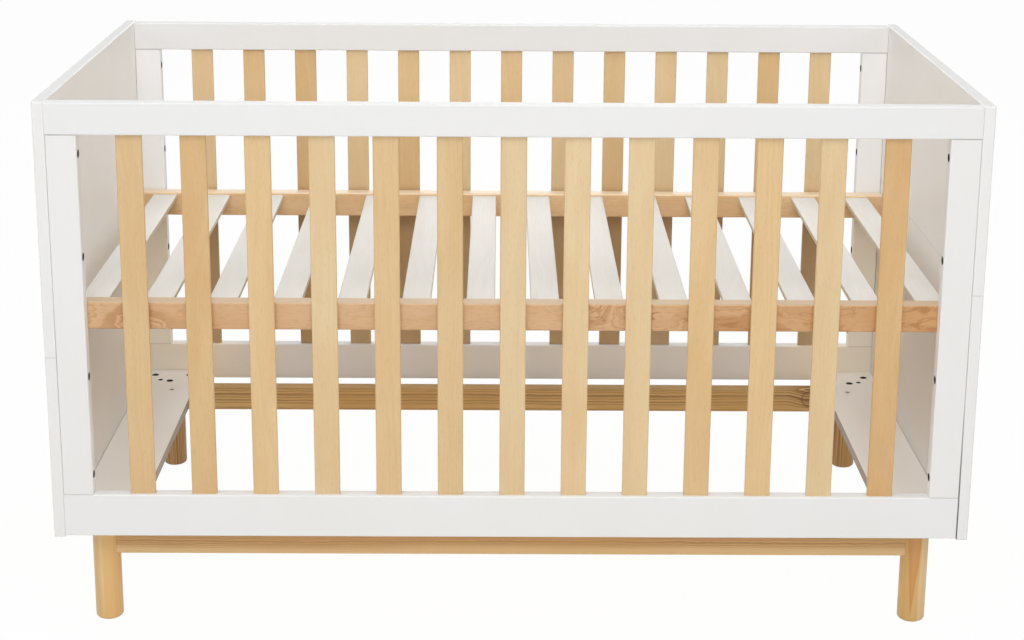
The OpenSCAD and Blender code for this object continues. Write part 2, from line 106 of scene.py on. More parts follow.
def wood(name, early, late, blotch, ring, ring_show, grain, centre, step, fibre_show=0.10,
         fleck_show=0.0, tone=0.06, hearts=((-0.05, 0.02), (0.05, 0.20)), wander=6.0,
         ripple=0.0, knots=(), seed=0.0, shade=None, gloss=0.42, coat=0.15):
    """Planed and lacquered wood, one board for each cell of the grid centre + n * step.

    early, late   colours of the pale and dark parts of a year ring
    blotch        colour of the cloudy patches
    ring          mean width of a year ring in mm
    ring_show     how far the rings stand out, from 0 to 1; fibre_show and fleck_show likewise
    tone          how far the boards differ in lightness
    hearts        two places in m, across the grain from the board's middle: the tree's heart
                  lies somewhere between them
    wander        how far the rings drift along the board, in mm
    ripple        how far they waver every 30 mm or so, in mm
    knots         (place, size, squeeze, strength, depth) of each knot in the bed's frame:
                  squeeze below 1 draws it out along an axis, strength is how far it bends the
                  rings, and depth how dark its rim is
    shade         function that changes the colour at marked places
    """
    material, tree = start(name)
    place = add(tree, "TexCoord").outputs["Object"]

    # Which board this is, a few random numbers for it, and the place within it
    offset = [s / 2 - c for s, c in zip(step, centre)]
    moved = add(tree, "VectorMath", {0: place, 1: offset}, operation="ADD").outputs[0]
    board = add(tree, "VectorMath", {0: moved, 1: step}, operation="SNAP").outputs[0]
    lot = add(tree, "TexWhiteNoise", {"Vector": board, "W": seed}, noise_dimensions="4D")
    corner = add(tree, "VectorMath", {0: moved, 1: board}, operation="SUBTRACT").outputs[0]
    within = add(tree, "VectorMath", {0: corner, 1: [s / 2 for s in step]}, operation="SUBTRACT")
    along = add(tree, "Mapping", {"Vector": within.outputs[0], "Rotation": grain}).outputs[0]
    # Each board is cut from another place in the tree
    shift = add(tree, "VectorMath", {0: lot.outputs["Color"], 1: (9.0, 7.0, 11.0)},
                operation="MULTIPLY").outputs[0]
    own = add(tree, "VectorMath", {0: along, 1: shift}, operation="ADD").outputs[0]

    # Year rings round the heart, which wanders every 140 mm across and 600 mm along the board
    spread = [high - low for low, high in zip(*hearts)] + [0.0]
    heart_at = add(tree, "VectorMath", {0: lot.outputs["Color"], 1: spread,
                                        2: [*hearts[0], 0.0]}, operation="MULTIPLY_ADD")
    slow = add(tree, "Mapping", {"Vector": own, "Scale": (7.0, 7.0, 1.6)}).outputs[0]
    drift = add(tree, "TexNoise", {"Vector": slow, "Scale": 1.0, "Detail": 2.0}).outputs["Color"]
    drift = add(tree, "VectorMath", {0: drift, 1: [wander * 4 * MM] * 3,
                                     2: [-wander * 2 * MM] * 3},
                operation="MULTIPLY_ADD").outputs[0]
    rings = add(tree, "VectorMath", {0: along, 1: heart_at.outputs[0]}, operation="SUBTRACT")
    rings = add(tree, "VectorMath", {0: rings.outputs[0], 1: drift}, operation="ADD").outputs[0]
    if ripple:
        # Ripples 14 mm across and 30 mm along
        fine = add(tree, "Mapping", {"Vector": own, "Scale": (70.0, 70.0, 32.0)}).outputs[0]
        fine = add(tree, "TexNoise", {"Vector": fine, "Scale": 1.0, "Detail": 2.0})
        fine = add(tree, "VectorMath", {0: fine.outputs["Color"], 1: [ripple * 4 * MM] * 3,
                                        2: [-ripple * 2 * MM] * 3}, operation="MULTIPLY_ADD")
        rings = add(tree, "VectorMath", {0: rings, 1: fine.outputs[0]},
                    operation="ADD").outputs[0]
    rings = add(tree, "VectorMath", {0: rings, 1: (1, 1, 0)}, operation="MULTIPLY").outputs[0]
    radius = add(tree, "VectorMath", {0: rings}, operation="LENGTH").outputs["Value"]
    # Round a knot the rings bend and show more, and it has a dark rim
    show, rims = ring_show, []
    for at, size, squeeze, strength, depth in knots:
        far = add(tree, "VectorMath", {0: place, 1: at}, operation="SUBTRACT").outputs[0]
        far = add(tree, "VectorMath", {0: far, 1: squeeze}, operation="MULTIPLY").outputs[0]
        far = add(tree, "VectorMath", {0: far}, operation="LENGTH").outputs["Value"]
        push = add(tree, "MapRange", {"Value": far, "From Min": 0.0, "From Max": size,
                                      "To Min": strength * size, "To Max": 0.0},
                   interpolation_type="SMOOTHERSTEP").outputs[0]
        radius = add(tree, "Math", {0: radius, 1: push}, operation="ADD").outputs[0]
        near = add(tree, "MapRange", {"Value": far, "From Min": 0.3 * size, "From Max": size,
                                      "To Min": 0.55, "To Max": 0.0}).outputs[0]
        show = add(tree, "Math", {0: show, 1: near}, operation="ADD").outputs[0]
        if depth:
            rim = add(tree, "Math", {0: far, 1: 1 / size}, operation="MULTIPLY").outputs[0]
            rims.append(add(tree, "ValToRGB", {"Fac": rim}, stops=[
                (0.0, 0.2 * depth), (0.25, 0.2 * depth), (0.30, depth), (0.35, 0.0)]).outputs[0])
    # Good and bad years: ring widths vary every 11 mm along the radius
    years = add(tree, "TexNoise", {"W": radius, "Scale": 90.0, "Detail": 1.0},
                noise_dimensions="1D").outputs[0]
    count = add(tree, "Math", {0: radius, 1: 1 / (ring * MM), 2: years}, operation="MULTIPLY_ADD")
    count = add(tree, "Math", {0: years, 1: 1.6, 2: count.outputs[0]}, operation="MULTIPLY_ADD")
    year = add(tree, "Math", {0: count.outputs[0]}, operation="FRACT").outputs[0]
    late_wood = add(tree, "ValToRGB", {"Fac": year}, stops=[
        (0.0, 0.7), (0.10, 0.05), (0.45, 0.15), (0.80, 1.0), (0.94, 1.0), (1.0, 0.7)]).outputs[0]
    late_wood = add(tree, "Math", {0: late_wood, 1: show}, operation="MULTIPLY").outputs[0]
    colour = add(tree, "Mix", {"Factor": late_wood, 6: linear(early), 7: linear(late)},
                 data_type="RGBA").outputs[2]

    # Clouds 80 mm wide and three times as long
    cloud = add(tree, "Mapping", {"Vector": own, "Scale": (12.5, 12.5, 4.0)}).outputs[0]
    cloud = add(tree, "TexNoise", {"Vector": cloud, "Scale": 1.0, "Detail": 3.0}).outputs[0]
    cloud = add(tree, "MapRange", {"Value": cloud, "From Min": 0.42, "From Max": 0.72,
                                   "To Min": 0.0, "To Max": 0.75}).outputs[0]
    colour = add(tree, "Mix", {"Factor": cloud, 6: colour, 7: linear(blotch)},
                 data_type="RGBA").outputs[2]

    # Fibres are 0.3 mm wide, too fine to show, so they are drawn 1.1 mm wide and 60 mm long
    fibre = add(tree, "Mapping", {"Vector": own, "Scale": (900.0, 900.0, 17.0)}).outputs[0]
    fibre = add(tree, "TexNoise", {"Vector": fibre, "Scale": 1.0, "Detail": 3.0,
                                   "Roughness": 0.6}).outputs[0]
    line = add(tree, "MapRange", {"Value": fibre, "From Min": 0.3, "From Max": 0.7,
                                  "To Min": 1 - fibre_show, "To Max": 1 + fibre_show * 0.4})
    colour = add(tree, "VectorMath", {0: colour, 1: line.outputs[0]}, operation="MULTIPLY")
    colour = colour.outputs[0]

    # Medullary flecks, 1.2 mm by 6 mm, brown and thinly strewn
    if fleck_show:
        cells = add(tree, "Mapping", {"Vector": own, "Scale": (320.0, 320.0, 62.0)}).outputs[0]
        cells = add(tree, "TexVoronoi", {"Vector": cells, "Scale": 1.0})
        fleck = add(tree, "MapRange", {"Value": cells.outputs["Distance"], "From Min": 0.16,
                                       "From Max": 0.34, "To Min": fleck_show, "To Max": 0.0})
        colour = add(tree, "Mix", {"Factor": fleck.outputs[0], 6: colour, 7: linear(late)},
                     data_type="RGBA").outputs[2]

    # Every board has its own tone
    tint = add(tree, "MapRange", {"Value": lot.outputs["Value"], "From Min": 0.0,
                                  "From Max": 1.0, "To Min": 1 - tone, "To Max": 1 + tone * 0.5})
    colour = add(tree, "VectorMath", {0: colour, 1: tint.outputs[0]}, operation="MULTIPLY")
    colour = colour.outputs[0]
    for rim in rims:
        colour = add(tree, "Mix", {"Factor": rim, 6: colour, 7: linear("#6B4524")},
                     data_type="RGBA").outputs[2]
    if shade:
        colour = shade(tree, colour)

    # Fibres lift the lacquer by hundredths of a millimetre, and dull it a little
    dull = add(tree, "MapRange", {"Value": fibre, "From Min": 0.3, "From Max": 0.7,
                                  "To Min": gloss + 0.07, "To Max": gloss - 0.05}).outputs[0]
    bump = add(tree, "Bump", {"Strength": 0.35, "Distance": 0.06 * MM, "Height": fibre})
    bsdf = add(tree, "BsdfPrincipled", {
        "Base Color": colour, "Roughness": dull, "IOR": 1.5, "Coat Weight": coat,
        "Coat Roughness": 0.3, "Normal": bump.outputs[0]})
    add(tree, "OutputMaterial", {"Surface": bsdf.outputs[0]})
    return material


# Lacquer, metal

def lacquer(name, colour, grain=None, gloss=0.40, tint="#E9E8E5", shade=None):
    """Sprayed satin lacquer: a faint orange peel, and over solid wood a hint of the grain."""
    material, tree = start(name)
    place = add(tree, "TexCoord").outputs["Object"]
    # Clouds of hand warmth and age, 200 mm wide, hardly seen
    cloud = add(tree, "TexNoise", {"Vector": place, "Scale": 5.0, "Detail": 2.0}).outputs[0]
    cloud = add(tree, "MapRange", {"Value": cloud, "From Min": 0.35, "From Max": 0.75,
                                   "To Min": 0.0, "To Max": 0.5}).outputs[0]
    base = add(tree, "Mix", {"Factor": cloud, 6: linear(colour), 7: linear(tint)},
               data_type="RGBA").outputs[2]
    if shade:
        base = shade(tree, base)
    # Orange peel: 1.5 mm ripples a hundredth of a millimetre high
    height = add(tree, "TexNoise", {"Vector": place, "Scale": 650.0, "Detail": 1.0}).outputs[0]
    if grain:
        # Raised grain under the lacquer: lines 1.5 mm wide and 90 mm long
        lines = add(tree, "Mapping", {"Vector": place, "Rotation": grain}).outputs[0]
        lines = add(tree, "Mapping", {"Vector": lines, "Scale": (660.0, 660.0, 11.0)}).outputs[0]
        lines = add(tree, "TexNoise", {"Vector": lines, "Scale": 1.0, "Detail": 2.0}).outputs[0]
        height = add(tree, "Math", {0: lines, 1: 2.0, 2: height}, operation="MULTIPLY_ADD")
        height = height.outputs[0]
    bump = add(tree, "Bump", {"Strength": 0.25, "Distance": 0.02 * MM, "Height": height})
    # Rubbed patches are glossier than the rest
    dull = add(tree, "TexNoise", {"Vector": place, "Scale": 9.0, "Detail": 3.0}).outputs[0]
    dull = add(tree, "MapRange", {"Value": dull, "From Min": 0.3, "From Max": 0.7,
                                  "To Min": gloss - 0.04, "To Max": gloss + 0.05}).outputs[0]
    bsdf = add(tree, "BsdfPrincipled", {
        "Base Color": base, "Roughness": dull, "IOR": 1.5, "Normal": bump.outputs[0]})
    add(tree, "OutputMaterial", {"Surface": bsdf.outputs[0]})
    return material


def plated(name, colour, patch, roughness):
    """Plated or solid metal: brushed grit 0.8 mm apart and plating clouded every 5 mm."""
    material, tree = start(name)
    place = add(tree, "TexCoord").outputs["Object"]
    cloud = add(tree, "TexNoise", {"Vector": place, "Scale": 220.0, "Detail": 3.0}).outputs[0]
    base = add(tree, "Mix", {"Factor": cloud, 6: linear(colour), 7: linear(patch)},
               data_type="RGBA").outputs[2]
    grit = add(tree, "TexNoise", {"Vector": place, "Scale": 1250.0, "Detail": 2.0}).outputs[0]
    dull = add(tree, "MapRange", {"Value": grit, "From Min": 0.3, "From Max": 0.7,
                                  "To Min": roughness - 0.06, "To Max": roughness + 0.08})
    bump = add(tree, "Bump", {"Strength": 0.3, "Distance": 0.01 * MM, "Height": grit})
    bsdf = add(tree, "BsdfPrincipled", {
        "Base Color": base, "Metallic": 1.0, "Roughness": dull.outputs[0],
        "Normal": bump.outputs[0]})
    add(tree, "OutputMaterial", {"Surface": bsdf.outputs[0]})
    return material


# Marked places

def bed_place(tree):
    """Place in the bed's frame, as X, Y and Z in metres."""
    return add(tree, "SeparateXYZ", {0: add(tree, "TexCoord").outputs["Object"]}).outputs


def facing(tree):
    """The way a face looks, as X, Y and Z from -1 to 1."""
    return add(tree, "SeparateXYZ", {0: add(tree, "TexCoord").outputs["Normal"]}).outputs


def side_mask(tree, low, high, most, axis="X"):
    """How far a face looks along an axis, either way: from 0 at low to most at high."""
    side = add(tree, "Math", {0: facing(tree)[axis]}, operation="ABSOLUTE").outputs[0]
    return add(tree, "MapRange", {"Value": side, "From Min": low, "From Max": high,
                                  "To Min": 0.0, "To Max": most}).outputs[0]


def thin_line(tree, value, place, full, none, most):
    """Line at one place: most where the value is within full of it, and 0 from none on."""
    far = add(tree, "Math", {0: value, 1: place}, operation="SUBTRACT").outputs[0]
    far = add(tree, "Math", {0: far}, operation="ABSOLUTE").outputs[0]
    return add(tree, "MapRange", {"Value": far, "From Min": full, "From Max": none,
                                  "To Min": most, "To Max": 0.0}).outputs[0]


def creamy_edges(tree, colour):
    """Faces of a cross slat that look along x, at its rounded edges, turn creamy."""
    return add(tree, "Mix", {"Factor": side_mask(tree, 0.5, 0.95, 0.8), 6: colour,
                             7: linear("#D8CCB3")}, data_type="RGBA").outputs[2]


def dark_bores(tree, colour, wall, across, bores):
    """Painted light and shade on bare walls of bores along one axis, and just past each rim:
    (place, radius) in the +x +y quarter.
    """
    place = add(tree, "TexCoord").outputs["Object"]
    place = add(tree, "VectorMath", {0: place}, operation="ABSOLUTE").outputs[0]
    place = add(tree, "VectorMath", {0: place, 1: across}, operation="MULTIPLY").outputs[0]
    for at, radius in bores:
        far = add(tree, "VectorMath", {0: place, 1: at}, operation="DISTANCE").outputs["Value"]
        inside = add(tree, "MapRange", {"Value": far, "From Min": radius + 0.3 * MM,
                                        "From Max": radius + 1.0 * MM, "To Min": 1.0,
                                        "To Max": 0.0}).outputs[0]
        colour = add(tree, "Mix", {"Factor": inside, 6: colour, 7: linear(wall)},
                     data_type="RGBA").outputs[2]
    return colour


def shaded_tops(tree, colour, tone):
    """Upward faces toned greyer: painted shade that holds back the light from above."""
    up = add(tree, "MapRange", {"Value": facing(tree)["Z"], "From Min": 0.3,
                                "From Max": 0.8}).outputs[0]
    return add(tree, "Mix", {"Factor": up, 6: colour, 7: linear(tone)},
               data_type="RGBA").outputs[2]


def open_seam(tree, colour):
    """The lower head board stands off a little: the shade in the seam grows towards the floor."""
    place = bed_place(tree)
    shade = thin_line(tree, place["X"], BOARD_FACE, 0.9 * MM, 1.5 * MM, 1.0)
    low = add(tree, "MapRange", {"Value": place["Z"], "From Min": 0.40, "From Max": 0.20,
                                 "To Min": 0.0, "To Max": 0.9}).outputs[0]
    front = add(tree, "MapRange", {"Value": place["Y"], "From Min": -0.374,
                                   "From Max": -0.380}).outputs[0]
    for mask in (low, front):
        shade = add(tree, "Math", {0: shade, 1: mask}, operation="MULTIPLY").outputs[0]
    return add(tree, "Mix", {"Factor": shade, 6: colour, 7: linear("#5F5E5B")},
               data_type="RGBA").outputs[2]


def warm_corners(tree, colour, tone):
    """The rear corners below the mattress base take warm light from the wood round them."""
    place = bed_place(tree)
    end = add(tree, "Math", {0: place["X"]}, operation="ABSOLUTE").outputs[0]
    warm = add(tree, "MapRange", {"Value": end, "From Min": 0.49, "From Max": 0.58}).outputs[0]
    low = add(tree, "MapRange", {"Value": place["Z"], "From Min": 0.52,
                                 "From Max": 0.46}).outputs[0]
    rear = add(tree, "MapRange", {"Value": place["Y"], "From Min": 0.0,
                                  "From Max": 0.01}).outputs[0]
    for mask in (low, rear):
        warm = add(tree, "Math", {0: warm, 1: mask}, operation="MULTIPLY").outputs[0]
    return add(tree, "Mix", {"Factor": warm, 6: colour, 7: linear(tone)},
               data_type="RGBA").outputs[2]


def board_marks(tree, colour):
    """Painted shade on the long edges, the tops, in the open seam, and on inner faces below the
    mattress base.
    """
    place = bed_place(tree)
    # Painted shade: inner faces browner below the mattress base
    below = add(tree, "ValToRGB", {"Fac": place["Z"]}, stops=[
        (0.26, 0.0), (0.42, 0.22), (0.47, 0.24), (0.52, 0.10), (0.56, 0.0)]).outputs[0]
    end = add(tree, "Math", {0: place["X"]}, operation="ABSOLUTE").outputs[0]
    inner = add(tree, "Math", {0: end, 1: BOARD_FACE + 7 * MM}, operation="LESS_THAN").outputs[0]
    for mask in (side_mask(tree, 0.8, 0.9, 1.0), inner):
        below = add(tree, "Math", {0: below, 1: mask}, operation="MULTIPLY").outputs[0]
    # Front and rear edges greyer and inner faces browner below the base: painted shade
    for mask, tone in ((side_mask(tree, 0.5, 0.9, 1.0, "Y"), "#ECECEC"), (below, "#8C7858")):
        colour = add(tree, "Mix", {"Factor": mask, 6: colour, 7: linear(tone)},
                     data_type="RGBA").outputs[2]
    return open_seam(tree, shaded_tops(tree, colour, "#C8C8C7"))


def rail_tops(tree, colour):
    """Painted shade on the top rails' upper faces."""
    return shaded_tops(tree, colour, "#CDCDCC")


def low_rail_marks(tree, colour):
    """Slight painted shade on tops, painted warm light at the rear rail's ends, and painted shade
    in the open seam beside the front rail.
    """
    return open_seam(tree, warm_corners(tree, shaded_tops(tree, colour, "#E4E4E3"), "#FBF2E2"))


def stile_marks(tree, colour):
    """Bolt holes in the inner edge, and the glue lines at the joints with the rails."""
    # Painted warm light in the rear corners below the base, and painted shade in the open seam
    plain = open_seam(tree, warm_corners(tree, colour, "#FFFAED"))
    # Near-black walls and rims: painted shade in the bolt holes
    bored = dark_bores(tree, plain, "#2E2822", (0, 1, 1), [
        ((0.0, SIDE_Y, height), COUNTERBORE) for height in SIDE_BOLTS])
    # The holes show in the inner edge, not in the one that the end board covers
    place = bed_place(tree)
    end = add(tree, "Math", {0: place["X"]}, operation="ABSOLUTE").outputs[0]
    outer = add(tree, "Math", {0: end, 1: 0.69}, operation="GREATER_THAN").outputs[0]
    colour = add(tree, "Mix", {"Factor": outer, 6: bored, 7: plain}, data_type="RGBA").outputs[2]
    for joint in RAIL_JOINTS:
        line = thin_line(tree, place["Z"], joint, 0.4 * MM, 1.2 * MM, 0.45)
        colour = add(tree, "Mix", {"Factor": line, 6: colour, 7: linear("#8E8981")},
                     data_type="RGBA").outputs[2]
    return colour


def bottom_board_marks(tree, colour):
    """Bolt and spare holes, and darker, browner long edges."""
    # The long edges, which look along x, darker and browner
    colour = add(tree, "Mix", {"Factor": side_mask(tree, 0.5, 0.9, 1.0), 6: colour,
                               7: linear("#A09280")}, data_type="RGBA").outputs[2]
    # Dark walls and rims: painted shade in the bolt holes and one spare hole
    colour = dark_bores(tree, colour, "#50473E", (1, 1, 0), [
        ((x, y, 0.0), COUNTERBORE) for x, y in BOTTOM_BOLTS] + [
        ((0.6735, 0.302, 0.0), SPARE_HOLE)])
    # The other spare hole is paler, lit through from below
    return dark_bores(tree, colour, "#C9C1B7", (1, 1, 0), [((0.643, 0.247, 0.0), SPARE_HOLE)])


def leg_waver(tree):
    """Noise by which a leg's figure wanders, 33 mm across and 110 mm along."""
    place = add(tree, "TexCoord").outputs["Object"]
    slow = add(tree, "Mapping", {"Vector": place, "Scale": (30.0, 30.0, 9.0)}).outputs[0]
    return add(tree, "TexNoise", {"Vector": slow, "Scale": 1.0, "Detail": 1.0}).outputs[0]


def flame(tree, colour):
    """Orange-brown flame on the front of the head end's leg, and a pale stripe beside it."""
    place = bed_place(tree)
    # Distance from the flame's middle line, which wanders by 4 mm
    off = add(tree, "Math", {0: leg_waver(tree), 1: 8.0 * MM, 2: -0.6505 - 4.0 * MM},
              operation="MULTIPLY_ADD").outputs[0]
    off = add(tree, "Math", {0: place["X"], 1: off}, operation="ADD").outputs[0]
    pale = add(tree, "MapRange", {"Value": off, "From Min": 9.0 * MM, "From Max": 12.0 * MM,
                                  "To Min": 0.0, "To Max": 0.8}).outputs[0]
    off = add(tree, "Math", {0: off}, operation="ABSOLUTE").outputs[0]
    # It widens upwards from a point 22 mm above the floor, and is darkest near its edge
    rise = add(tree, "Math", {0: place["Z"], 1: -0.022}, operation="ADD").outputs[0]
    edge = add(tree, "Math", {0: rise, 1: -0.082, 2: off}, operation="MULTIPLY_ADD").outputs[0]
    edge = add(tree, "MapRange", {"Value": edge, "From Min": -4.0 * MM,
                                  "From Max": 2.0 * MM}).outputs[0]
    inside = add(tree, "ValToRGB", {"Fac": edge}, stops=[
        (0.0, 0.70), (0.50, 0.85), (0.62, 1.0), (0.80, 0.35), (1.0, 0.0)]).outputs[0]
    for mask, tone in ((pale, "#E9C795"), (inside, "#CB8D4A")):
        colour = add(tree, "Mix", {"Factor": mask, 6: colour, 7: linear(tone)},
                     data_type="RGBA").outputs[2]
    return colour


def yellow_half(tree, colour):
    """The half of the foot end's front leg that lies towards the bed's middle is yellower."""
    across = add(tree, "Math", {0: leg_waver(tree), 1: 8.0 * MM, 2: bed_place(tree)["X"]},
                 operation="MULTIPLY_ADD").outputs[0]
    half = add(tree, "MapRange", {"Value": across, "From Min": -0.656, "From Max": -0.652,
                                  "To Min": 0.0, "To Max": 0.75}).outputs[0]
    return add(tree, "Mix", {"Factor": half, 6: colour, 7: linear("#E1B472")},
               data_type="RGBA").outputs[2]


def sapwood_and_overhang_shade(tree, colour):
    """Paler lower edge of the front leg rail, sapwood and painted light; browner upper edge,
    painted shadow of the bottom rail.
    """
    place = add(tree, "TexCoord").outputs["Object"]
    slow = add(tree, "Mapping", {"Vector": place, "Scale": (3.0, 30.0, 30.0)}).outputs[0]
    slow = add(tree, "TexNoise", {"Vector": slow, "Scale": 1.0, "Detail": 2.0}).outputs[0]
    height = add(tree, "Math", {0: slow, 1: 12.0 * MM, 2: bed_place(tree)["Z"]},
                 operation="MULTIPLY_ADD").outputs[0]
    upper = add(tree, "MapRange", {"Value": height, "From Min": 0.150, "From Max": 0.166,
                                   "To Min": 0.0, "To Max": 0.35}).outputs[0]
    lower = add(tree, "MapRange", {"Value": height, "From Min": 0.140, "From Max": 0.126,
                                   "To Min": 0.0, "To Max": 0.75},
                interpolation_type="SMOOTHSTEP").outputs[0]
    # Upper edge: painted shadow of the bottom rail; lower edge: sapwood and painted light
    for mask, tone in ((upper, "#AE783A"), (lower, "#E9C893")):
        colour = add(tree, "Mix", {"Factor": mask, 6: colour, 7: linear(tone)},
                     data_type="RGBA").outputs[2]
    return colour


def reddening(tree, colour):
    """The base rail's head half is of redder wood with brown streaks; its top has painted shade.
    """
    place = add(tree, "TexCoord").outputs["Object"]
    end = bed_place(tree)["X"]
    redder = add(tree, "MapRange", {"Value": end, "From Min": 0.06, "From Max": 0.62,
                                    "To Min": 0.0, "To Max": 0.6}).outputs[0]
    # Streaks 8 mm high and three times as long, on the slant
    streak = add(tree, "Mapping", {"Vector": place, "Rotation": (0.0, 0.35, 0.0),
                                   "Scale": (34.0, 60.0, 105.0)}).outputs[0]
    streak = add(tree, "TexNoise", {"Vector": streak, "Scale": 1.0, "Detail": 3.0,
                                    "Distortion": 0.8}).outputs[0]
    streak = add(tree, "MapRange", {"Value": streak, "From Min": 0.55, "From Max": 0.68,
                                    "To Min": 0.0, "To Max": 0.6}).outputs[0]
    half = add(tree, "MapRange", {"Value": end, "From Min": 0.08, "From Max": 0.10}).outputs[0]
    streak = add(tree, "Math", {0: streak, 1: half}, operation="MULTIPLY").outputs[0]
    for mask, tone in ((redder, "#CB9459"), (streak, "#A5692F")):
        colour = add(tree, "Mix", {"Factor": mask, 6: colour, 7: linear(tone)},
                     data_type="RGBA").outputs[2]
    return shaded_tops(tree, colour, "#BDA383")


def grey_top(tree, colour):
    """Painted shade on the rear base rail's upper face."""
    return shaded_tops(tree, colour, "#DCC7AA")


def sheltered(tree, colour):
    """Inner faces of the rear slats are browner where the mattress base keeps the light off."""
    place = bed_place(tree)
    brown = add(tree, "MapRange", {"Value": facing(tree)["Y"], "From Min": -0.3,
                                   "From Max": -0.9}).outputs[0]
    rear = add(tree, "Math", {0: place["Y"], 1: 0.0}, operation="GREATER_THAN").outputs[0]
    low = add(tree, "ValToRGB", {"Fac": place["Z"]}, stops=[
        (0.25, 0.36), (0.40, 0.44), (0.49, 0.48), (0.52, 0.11), (0.68, 0.07),
        (0.74, 0.0)]).outputs[0]
    for mask in (rear, low):
        brown = add(tree, "Math", {0: brown, 1: mask}, operation="MULTIPLY").outputs[0]
    return add(tree, "Mix", {"Factor": brown, 6: colour, 7: linear("#5C3D14")},
               data_type="RGBA").outputs[2]


# The bed's finishes

# Middle of one board, and the steps to the next ones
WHOLE = 9.0     # more than the bed's length: there is no next board this way
SLAT_GRID = dict(centre=(0.0, SIDE_Y, 0.5), step=(SLAT_STEP, 2 * SIDE_Y, WHOLE))
LEG_GRID = dict(centre=(LEG_X, LEG_Y, 0.08), step=(2 * LEG_X, 2 * LEG_Y, WHOLE))
BASE_GRID = dict(centre=(0.0, BASE_Y, 0.522), step=(WHOLE, 2 * BASE_Y, WHOLE))
STAND_GRID = dict(centre=(0.0, LEG_Y, 0.137), step=(WHOLE, 2 * LEG_Y, WHOLE))
CROSS_GRID = dict(centre=(CROSS_STEP / 2, 0.0, 0.536), step=(CROSS_STEP, WHOLE, WHOLE))

# Board and solid wood in one white, with the softly broken shine of sprayed satin lacquer
board_white = lacquer("satin_white_lacquer_on_board", "#F5F3F0", tint="#ECEAE7",
                      shade=board_marks)
rail_white = lacquer("satin_white_lacquer_on_top_rails", "#E9EAEB", ALONG_X, gloss=0.48,
                     shade=rail_tops)
low_rail_white = lacquer("satin_white_lacquer_on_bottom_rails", "#ECEDEE", ALONG_X, gloss=0.48,
                         shade=low_rail_marks)
stile_white = lacquer("satin_white_lacquer_on_stiles", "#EDECEC", ALONG_Z, shade=stile_marks)
# The rear stiles' copy of this lacquer is lighter and bluer: painted light
rear_stile_white_lit = lacquer("satin_white_lacquer_on_rear_stiles_painted_lighter", "#F3F4F6", ALONG_Z,
                           tint="#EFEFEF", shade=stile_marks)
bottom_white = lacquer("satin_off_white_lacquer_on_board", "#F8F5F0", tint="#F2EDE6", gloss=0.45,
                       shade=bottom_board_marks)

# Steamed beech: even and pale gold, with faint clouds and flecks
beech = {
    sort[0]: wood(f"lacquered_beech_{sort}", early, late, blotch, ring=5.5, ring_show=0.12,
                  grain=ALONG_Z, fibre_show=0.05, fleck_show=0.22, tone=0.05, wander=9.0,
                  seed=seed, shade=sheltered, **SLAT_GRID)
    for sort, early, late, blotch, seed in (
        ("pale", "#E5CBA0", "#D0A972", "#DDBC8A", 1.0),
        ("golden", "#E1C292", "#CA9E65", "#D9B27C", 2.0),
        ("warm", "#DDBB88", "#C59159", "#D3A46B", 3.0))}

# Pinkish beech of the base rails: a swirl near the foot end, then dark figures
front_base_wood = wood(
    "lacquered_pink_beech_front", "#DFB88D", "#B47D43", "#D9AA77", ring=6.0, ring_show=0.18,
    grain=ALONG_X, fibre_show=0.07, fleck_show=0.25, wander=10.0, ripple=3.5, seed=4.0,
    shade=reddening,
    knots=[((-0.590, -0.362, 0.515), 0.050, (0.5, 1, 1), 0.3, 0.0),
           ((0.125, -0.362, 0.546), 0.055, (0.9, 1, 1), 0.5, 0.0),
           ((0.360, -0.362, 0.515), 0.045, (0.3, 1, 1), 0.3, 0.0),
           ((0.530, -0.362, 0.538), 0.012, (1, 1, 1), 1.0, 0.9)],
    **BASE_GRID)
rear_base_wood = wood(
    "lacquered_pink_beech_rear", "#EECDA0", "#CB9655", "#E7BD8A", ring=7.0, ring_show=0.20,
    grain=ALONG_X, fibre_show=0.07, fleck_show=0.25, wander=12.0, ripple=3.0, seed=4.5,
    shade=grey_top, **BASE_GRID)

# Pine of the legs: broad soft bands on the front ones, the head end's with a flame, and close
# dark stripes on the rear ones
pale_leg_pine = wood("lacquered_pine_pale_leg", "#EDCB94", "#CB9C58", "#E3B97A", ring=9.0,
                     ring_show=0.45, grain=ALONG_Z, fibre_show=0.07, wander=2.5, seed=5.0,
                     hearts=((0.03, 0.03), (0.03, 0.03)), shade=yellow_half, **LEG_GRID)
flame_leg_pine = wood("lacquered_pine_leg_with_flame", "#DFB978", "#C28F4D", "#D6A966", ring=9.0,
                      ring_show=0.25, grain=ALONG_Z, fibre_show=0.07, wander=2.5, seed=5.0,
                      shade=flame, **LEG_GRID)
dark_leg_pine = wood("lacquered_pine_dark_legs", "#E0BC84", "#85581F", "#C99C5E", ring=4.0,
                     ring_show=0.9, grain=ALONG_Z, fibre_show=0.16, wander=3.0, seed=5.0,
                     hearts=((0.06, 0.03), (0.08, 0.05)), **LEG_GRID)
# Pine of the long rails: fine wavy streaks in front, dark stripes and a knot at the rear
front_rail_pine = wood("lacquered_pine_front_rail", "#DCAF73", "#9C6832", "#CFA064", ring=3.6,
                       ring_show=0.62, grain=ALONG_X, fibre_show=0.16, wander=5.0, seed=6.0,
                       hearts=((0.07, 0.02), (0.07, 0.02)), ripple=1.3, shade=sapwood_and_overhang_shade,
                       **STAND_GRID)
rear_rail_pine = wood("lacquered_pine_rear_rail", "#E4C181", "#8F6430", "#D4A967", ring=6.0,
                      ring_show=0.75, grain=ALONG_X, fibre_show=0.18, wander=2.5, ripple=0.8,
                      seed=6.5, hearts=((0.10, 0.01), (0.10, 0.01)),
                      knots=[((0.583, 0.317, 0.140), 0.050, (1, 1, 1), 0.15, 0.8)], **STAND_GRID)

